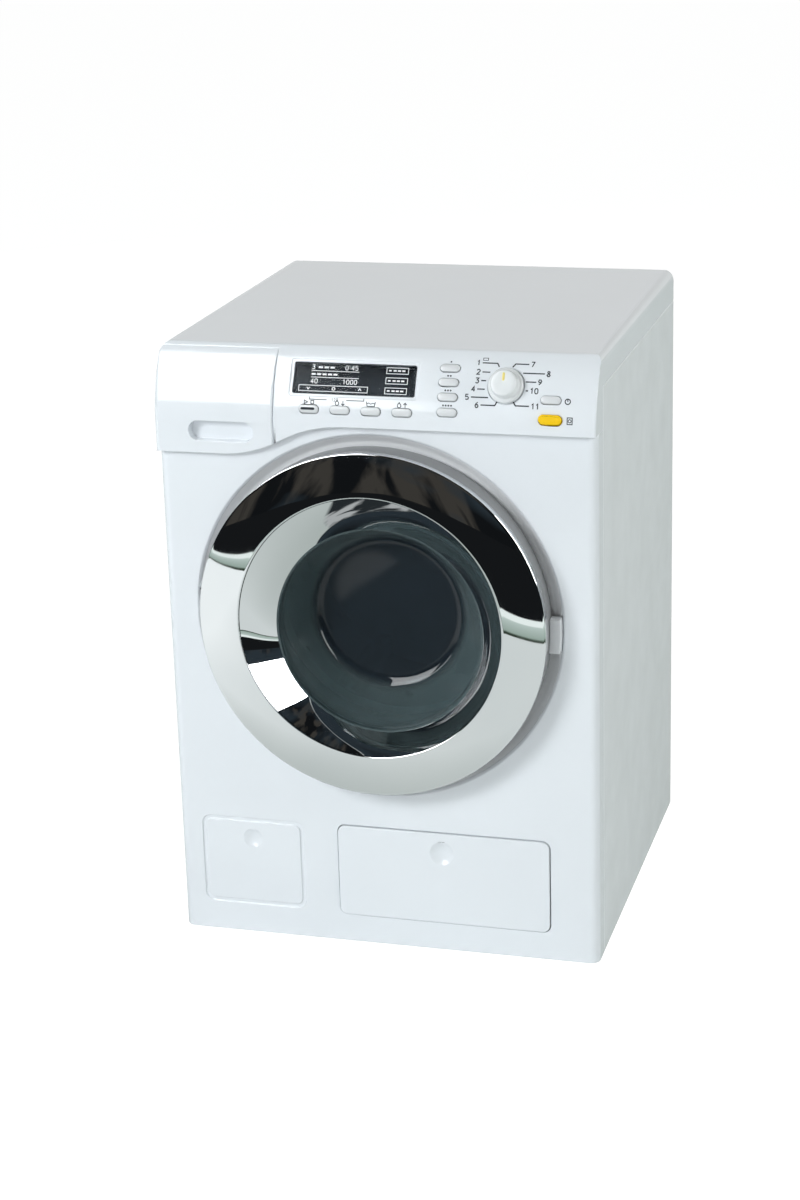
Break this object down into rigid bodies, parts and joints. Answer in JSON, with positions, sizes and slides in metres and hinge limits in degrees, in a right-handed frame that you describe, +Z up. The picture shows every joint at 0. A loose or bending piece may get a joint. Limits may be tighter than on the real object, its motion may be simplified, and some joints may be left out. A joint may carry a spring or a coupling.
{
  "type": "toy washing machine",
  "caption": "Toy front-loading washing machine with an opening porthole door, turning perforated drum, sprung keys, program knob, detergent drawer and water tray.",
  "frame": {"origin": "centre of the cabinet's base on the surface it stands on, halfway between the front panel's face and the back", "axes": "+Z up, the door faces -Y, +X to the right seen from the front"},
  "size_m": [0.185, 0.1969, 0.261],
  "materials": {
    "cabinet_white": "moulded, slightly satin",
    "panel_white": "moulded, glossy",
    "inner_grey": "moulded, unpolished",
    "ring_grey": "satin silver-grey",
    "tab_grey": "satin light grey",
    "chrome": "vacuum-plated mirror",
    "smoked_glass": "clear smoked plastic, glossy",
    "seal_rubber": "soft, matt",
    "steel": "plain",
    "drum_silver": "silver-coloured moulding",
    "bronze": "sintered",
    "nylon": "natural nylon",
    "key_white": "moulded, satin",
    "yellow": "moulded, glossy",
    "pad_silicone": "translucent silicone",
    "board_green": "solder resist",
    "black_plastic": "moulded",
    "print_ink": "printed",
    "cell_wrap": "plain shrink sleeve"
  },
  "bodies": {
    "housing": {"body_shell": "cabinet_white", "front_panel": "panel_white", "top_cover": "panel_white", "base_plate": "cabinet_white", "housing_screws": "steel", "door_surround": "ring_grey", "door_seal": "seal_rubber", "hinge_pin": "steel", "latch_spring": "steel", "tub": "cabinet_white", "tub_brackets": "inner_grey", "axle_bushes": "bronze", "idler_pin": "steel", "gear_plate": "inner_grey", "gear_plate_screws": "steel", "motor": "steel", "key_pad": "pad_silicone", "circuit_board": "board_green", "rotary_switch": "black_plastic", "display_window": "smoked_glass", "display_card": "black_plastic", "drawer_housing": "inner_grey", "inlet_hose": "seal_rubber", "drain_hose": "seal_rubber", "tray_guide": "inner_grey", "battery_box": "inner_grey", "batteries": "cell_wrap", "battery_contacts": "steel", "battery_cover": "cabinet_white", "battery_screw": "steel", "speaker": "black_plastic"},
    "door": {"door_frame": "cabinet_white", "door_ring": "chrome", "door_funnel": "chrome", "door_glass": "smoked_glass", "door_tab": "tab_grey"},
    "latch": {"latch_rod": "steel"},
    "drum": {"drum": "drum_silver", "drum_axle": "steel", "drum_gear": "nylon"},
    "idler": {"idler_gear": "nylon"},
    "pinion": {"motor_pinion": "bronze"},
    "knob": {"program_knob": "panel_white", "knob_mark": "yellow", "knob_shaft": "steel"},
    "drawer": {"drawer_front": "panel_white", "drawer_cups": "cabinet_white"},
    "tray": {"water_tray": "panel_white"},
    "door_key": {"door_key": "yellow"},
    "start_key": {"start_key": "key_white"},
    "water_in_key": {"water_in_key": "key_white"},
    "wash_key": {"wash_key": "key_white"},
    "water_out_key": {"water_out_key": "key_white"},
    "option_key_1": {"option_key_1": "key_white"},
    "option_key_2": {"option_key_2": "key_white"},
    "option_key_3": {"option_key_3": "key_white"},
    "spin_key": {"spin_key": "key_white"},
    "power_key": {"power_key": "key_white"}
  },
  "joints": [
    {"name": "door_hinge", "type": "hinge", "parent": "housing", "child": "door", "pos_m": [-0.0756, -0.0905, 0.1485], "axis": [0, 0, -1], "range_deg": [0, 90]},
    {"name": "drum_turn", "type": "hinge", "parent": "housing", "child": "drum", "pos_m": [0, 0, 0.1485], "axis": [0, 1, 0], "continuous": true},
    {"name": "idler_turn", "type": "hinge", "parent": "housing", "child": "idler", "pos_m": [0.018, 0.04, 0.11732], "axis": [0, 1, 0], "continuous": true},
    {"name": "pinion_turn", "type": "hinge", "parent": "housing", "child": "pinion", "pos_m": [0.0295, 0.04, 0.09741], "axis": [0, 1, 0], "continuous": true},
    {"name": "knob_turn", "type": "hinge", "parent": "housing", "child": "knob", "pos_m": [0.0555, -0.08946, 0.24915], "axis": [0, -0.891, 0.454], "continuous": true},
    {"name": "drawer_slide", "type": "slide", "parent": "housing", "child": "drawer", "axis": [0, -1, 0], "range_m": [0, 0.04]},
    {"name": "tray_slide", "type": "slide", "parent": "housing", "child": "tray", "axis": [0, -1, 0], "range_m": [0, 0.08]},
    {"name": "door_key_press", "type": "slide", "parent": "housing", "child": "door_key", "axis": [0, 0.891, -0.454], "range_m": [0, 0.0012], "stiffness_N_per_m": 300, "springref_m": -0.001},
    {"name": "latch_slide", "type": "slide", "parent": "housing", "child": "latch", "axis": [0, 0, -1], "range_m": [0, 0.00161], "deforming": ["latch_spring"]},
    {"name": "start_key_press", "type": "slide", "parent": "housing", "child": "start_key", "axis": [0, 0.891, -0.454], "range_m": [0, 0.0008], "stiffness_N_per_m": 300, "springref_m": -0.001, "deforming": ["key_pad"]},
    {"name": "water_in_key_press", "type": "slide", "parent": "housing", "child": "water_in_key", "axis": [0, 0.891, -0.454], "range_m": [0, 0.0008], "stiffness_N_per_m": 300, "springref_m": -0.001, "deforming": ["key_pad"]},
    {"name": "wash_key_press", "type": "slide", "parent": "housing", "child": "wash_key", "axis": [0, 0.891, -0.454], "range_m": [0, 0.0008], "stiffness_N_per_m": 300, "springref_m": -0.001, "deforming": ["key_pad"]},
    {"name": "water_out_key_press", "type": "slide", "parent": "housing", "child": "water_out_key", "axis": [0, 0.891, -0.454], "range_m": [0, 0.0008], "stiffness_N_per_m": 300, "springref_m": -0.001, "deforming": ["key_pad"]},
    {"name": "option_key_1_press", "type": "slide", "parent": "housing", "child": "option_key_1", "axis": [0, 0.891, -0.454], "range_m": [0, 0.0008], "stiffness_N_per_m": 300, "springref_m": -0.001, "deforming": ["key_pad"]},
    {"name": "option_key_2_press", "type": "slide", "parent": "housing", "child": "option_key_2", "axis": [0, 0.891, -0.454], "range_m": [0, 0.0008], "stiffness_N_per_m": 300, "springref_m": -0.001, "deforming": ["key_pad"]},
    {"name": "option_key_3_press", "type": "slide", "parent": "housing", "child": "option_key_3", "axis": [0, 0.891, -0.454], "range_m": [0, 0.0008], "stiffness_N_per_m": 300, "springref_m": -0.001, "deforming": ["key_pad"]},
    {"name": "spin_key_press", "type": "slide", "parent": "housing", "child": "spin_key", "axis": [0, 0.891, -0.454], "range_m": [0, 0.0008], "stiffness_N_per_m": 300, "springref_m": -0.001, "deforming": ["key_pad"]},
    {"name": "power_key_press", "type": "slide", "parent": "housing", "child": "power_key", "axis": [0, 0.891, -0.454], "range_m": [0, 0.0008], "stiffness_N_per_m": 300, "springref_m": -0.001, "deforming": ["key_pad"]}
  ],
  "couplings": [
    {"joint": "idler_turn", "follows": "drum_turn", "ratio": -5},
    {"joint": "pinion_turn", "follows": "drum_turn", "ratio": 18},
    {"joint": "latch_slide", "follows": "door_key_press", "ratio": 1.345}
  ]
}
